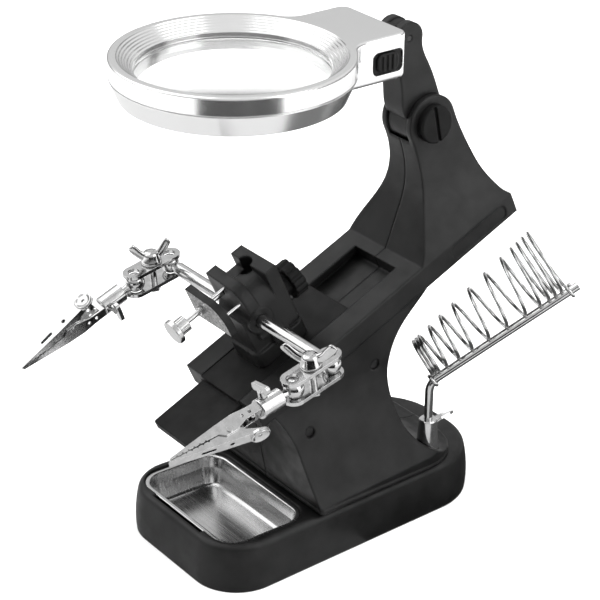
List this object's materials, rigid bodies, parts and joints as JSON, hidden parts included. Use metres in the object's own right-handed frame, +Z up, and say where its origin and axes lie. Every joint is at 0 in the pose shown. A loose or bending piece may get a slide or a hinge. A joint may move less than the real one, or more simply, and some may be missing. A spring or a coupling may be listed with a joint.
{
  "type": "helping hands clamp with lamp magnifier",
  "caption": "Bench third hand: weighted base with steel tray, leaning stand, sliding clamp, cross rod with ball-jointed clips, tilting lit magnifier and coil rest for an iron.",
  "frame": {"origin": "centre of the base's footprint on the bench", "axes": "+Z up, +Y from the tray towards the iron rest's coil, +X to the right when facing the tray from the front"},
  "size_m": [0.1562, 0.2565, 0.2598],
  "materials": {
    "black_satin": "satin moulded plastic",
    "black_dull": "dull moulded plastic",
    "rubber_black": "soft rubber",
    "ballast_iron": "rough casting",
    "tray_steel": "polished sheet steel",
    "silver_plastic": "silver painted plastic",
    "lens_glass": "clear polished",
    "chrome_bright": "bright plating",
    "zinc_steel": "zinc plated",
    "black_screw": "black enamel",
    "board_green": "circuit board",
    "lamp_clear": "clear lamp body",
    "cell_jacket": "printed jacket"
  },
  "bodies": {
    "base": {"base_shell": "black_satin", "base_plate": "black_dull", "rubber_feet": "rubber_black", "base_screws": "zinc_steel", "ballast_weight": "ballast_iron", "body_shell_left": "black_satin", "body_shell_right": "black_satin", "body_screws": "black_screw", "mounting_screws": "zinc_steel", "iron_socket": "chrome_bright", "pivot_nut": "zinc_steel"},
    "tray": {"solder_tray": "tray_steel"},
    "arm": {"lens_arm": "black_satin", "hinge_pin": "black_screw"},
    "pivot_screw": {"pivot_screw": "black_screw"},
    "lens_head": {"lens_bracket": "black_dull", "lens_frame_upper": "silver_plastic", "lens_frame_lower": "silver_plastic", "lens_glass": "lens_glass", "led_board": "board_green", "leds": "lamp_clear", "batteries": "cell_jacket", "switch_base": "black_dull"},
    "battery_cover": {"battery_cover": "silver_plastic"},
    "switch": {"switch_slider": "black_dull"},
    "carriage": {"slide_plate": "black_satin", "clamp_block": "black_satin", "guide_pins": "chrome_bright"},
    "front_jaw": {"front_jaw": "black_satin"},
    "jaw_screw": {"jaw_screw": "chrome_bright"},
    "lock_knob": {"lock_knob": "black_dull"},
    "cross_rod": {"cross_rod": "chrome_bright"},
    "iron_rest": {"rest_wire": "chrome_bright", "rest_coil": "chrome_bright"},
    "socket_screw": {"socket_screw": "chrome_bright"},
    "left_clamp": {"left_plate_upper": "chrome_bright", "left_plate_lower": "chrome_bright", "left_clamp_bolt": "chrome_bright"},
    "left_wing_nut": {"left_wing_nut": "chrome_bright"},
    "left_barrel": {"left_barrel": "chrome_bright"},
    "left_barrel_screw": {"left_barrel_screw": "chrome_bright"},
    "left_clip": {"left_fixed_jaw": "chrome_bright", "left_clip_pin": "chrome_bright", "left_clip_spring": "zinc_steel"},
    "left_lever": {"left_lever_jaw": "chrome_bright"},
    "right_clamp": {"right_plate_upper": "chrome_bright", "right_plate_lower": "chrome_bright", "right_clamp_bolt": "chrome_bright"},
    "right_wing_nut": {"right_wing_nut": "chrome_bright"},
    "right_barrel": {"right_barrel": "chrome_bright"},
    "right_barrel_screw": {"right_barrel_screw": "chrome_bright"},
    "right_clip": {"right_fixed_jaw": "chrome_bright", "right_clip_pin": "chrome_bright", "right_clip_spring": "zinc_steel"},
    "right_lever": {"right_lever_jaw": "chrome_bright"}
  },
  "joints": [
    {"name": "tray_lift", "type": "slide", "parent": "base", "child": "tray", "axis": [0, 0, 1], "range_m": [0, 0.018]},
    {"name": "arm_tilt", "type": "hinge", "parent": "base", "child": "arm", "pos_m": [0, 0.0645, 0.2029], "axis": [1, 0, 0], "range_deg": [-30, 10]},
    {"name": "pivot_screw_turn", "type": "hinge", "parent": "base", "child": "pivot_screw", "pos_m": [0, 0.0645, 0.2029], "axis": [1, 0, 0], "continuous": true},
    {"name": "lens_tilt", "type": "hinge", "parent": "arm", "child": "lens_head", "pos_m": [0, 0.051, 0.2483], "axis": [1, 0, 0], "range_deg": [-60, 20]},
    {"name": "battery_cover_off", "type": "slide", "parent": "lens_head", "child": "battery_cover", "axis": [0, 0, -1], "range_m": [0, 0.015]},
    {"name": "switch_slide", "type": "slide", "parent": "lens_head", "child": "switch", "axis": [0, 1, 0], "range_m": [-0.0022, 0.0022]},
    {"name": "carriage_slide", "type": "slide", "parent": "base", "child": "carriage", "axis": [0, 0.9092, 0.4163], "range_m": [0, 0.032]},
    {"name": "front_jaw_slide", "type": "slide", "parent": "carriage", "child": "front_jaw", "axis": [0, 0.9092, 0.4163], "range_m": [0, 0.007]},
    {"name": "jaw_screw_turn", "type": "hinge", "parent": "front_jaw", "child": "jaw_screw", "pos_m": [-0.0065, -0.06323, 0.13029], "axis": [0, 0.9092, 0.4163], "range_deg": [0, 3610]},
    {"name": "lock_knob_turn", "type": "hinge", "parent": "carriage", "child": "lock_knob", "pos_m": [0.0021, -0.02119, 0.13457], "axis": [0, 0.9092, 0.4163], "continuous": true},
    {"name": "rod_turn", "type": "hinge", "parent": "carriage", "child": "cross_rod", "pos_m": [0, -0.04083, 0.12558], "axis": [1, 0, 0], "range_deg": [-60, 45]},
    {"name": "rest_swivel", "type": "hinge", "parent": "base", "child": "iron_rest", "pos_m": [0.0345, 0.049, 0.045], "axis": [0, 0, 1], "range_deg": [-96, 14]},
    {"name": "socket_screw_turn", "type": "hinge", "parent": "base", "child": "socket_screw", "pos_m": [0.0345, 0.049, 0.0465], "axis": [-0.2588, 0.9659, 0], "continuous": true},
    {"name": "left_clamp_swivel", "type": "hinge", "parent": "cross_rod", "child": "left_clamp", "pos_m": [-0.0668, -0.04083, 0.12558], "axis": [0.0154, -0.1034, 0.9945], "range_deg": [-45, 5]},
    {"name": "left_wing_nut_turn", "type": "hinge", "parent": "left_clamp", "child": "left_wing_nut", "pos_m": [-0.06504, -0.05264, 0.12433], "axis": [0.0154, -0.1034, 0.9945], "continuous": true},
    {"name": "left_barrel_swivel", "type": "hinge", "parent": "left_clamp", "child": "left_barrel", "pos_m": [-0.06327, -0.06444, 0.12307], "axis": [0.0154, -0.1034, 0.9945], "range_deg": [-35, 10]},
    {"name": "left_barrel_screw_turn", "type": "hinge", "parent": "left_barrel", "child": "left_barrel_screw", "pos_m": [-0.05876, -0.08031, 0.11561], "axis": [0.9862, 0.0406, -0.1604], "continuous": true},
    {"name": "left_clip_roll", "type": "hinge", "parent": "left_barrel", "child": "left_clip", "pos_m": [-0.06363, -0.07829, 0.11733], "axis": [-0.0242, -0.9236, -0.3827], "continuous": true},
    {"name": "left_lever_open", "type": "hinge", "parent": "left_clip", "child": "left_lever", "pos_m": [-0.06393, -0.10329, 0.10973], "axis": [-0.9913, -0.0273, 0.1286], "range_deg": [0, 20], "stiffness_Nm_per_rad": 0.12, "springref_deg": -28.65},
    {"name": "right_clamp_swivel", "type": "hinge", "parent": "cross_rod", "child": "right_clamp", "pos_m": [0.0668, -0.04083, 0.12558], "axis": [0.0191, -0.1605, 0.9869], "range_deg": [-5, 45]},
    {"name": "right_wing_nut_turn", "type": "hinge", "parent": "right_clamp", "child": "right_wing_nut", "pos_m": [0.0682, -0.05259, 0.12364], "axis": [0.0191, -0.1605, 0.9869], "continuous": true},
    {"name": "right_barrel_swivel", "type": "hinge", "parent": "right_clamp", "child": "right_barrel", "pos_m": [0.0696, -0.06435, 0.1217], "axis": [0.0191, -0.1605, 0.9869], "range_deg": [-10, 35]},
    {"name": "right_barrel_screw_turn", "type": "hinge", "parent": "right_barrel", "child": "right_barrel_screw", "pos_m": [0.07027, -0.08233, 0.12374], "axis": [-0.077, -0.1694, 0.9825], "continuous": true},
    {"name": "right_clip_roll", "type": "hinge", "parent": "right_barrel", "child": "right_clip", "pos_m": [0.07051, -0.07912, 0.11923], "axis": [0.0602, -0.9844, -0.165], "continuous": true},
    {"name": "right_lever_open", "type": "hinge", "parent": "right_clip", "child": "right_lever", "pos_m": [0.07434, -0.10438, 0.11379], "axis": [0.4621, -0.1191, 0.8788], "range_deg": [0, 20], "stiffness_Nm_per_rad": 0.12, "springref_deg": -28.65}
  ],
  "couplings": [
    {"joint": "jaw_screw_turn", "follows": "front_jaw_slide", "rad_per_m": 8976}
  ]
}
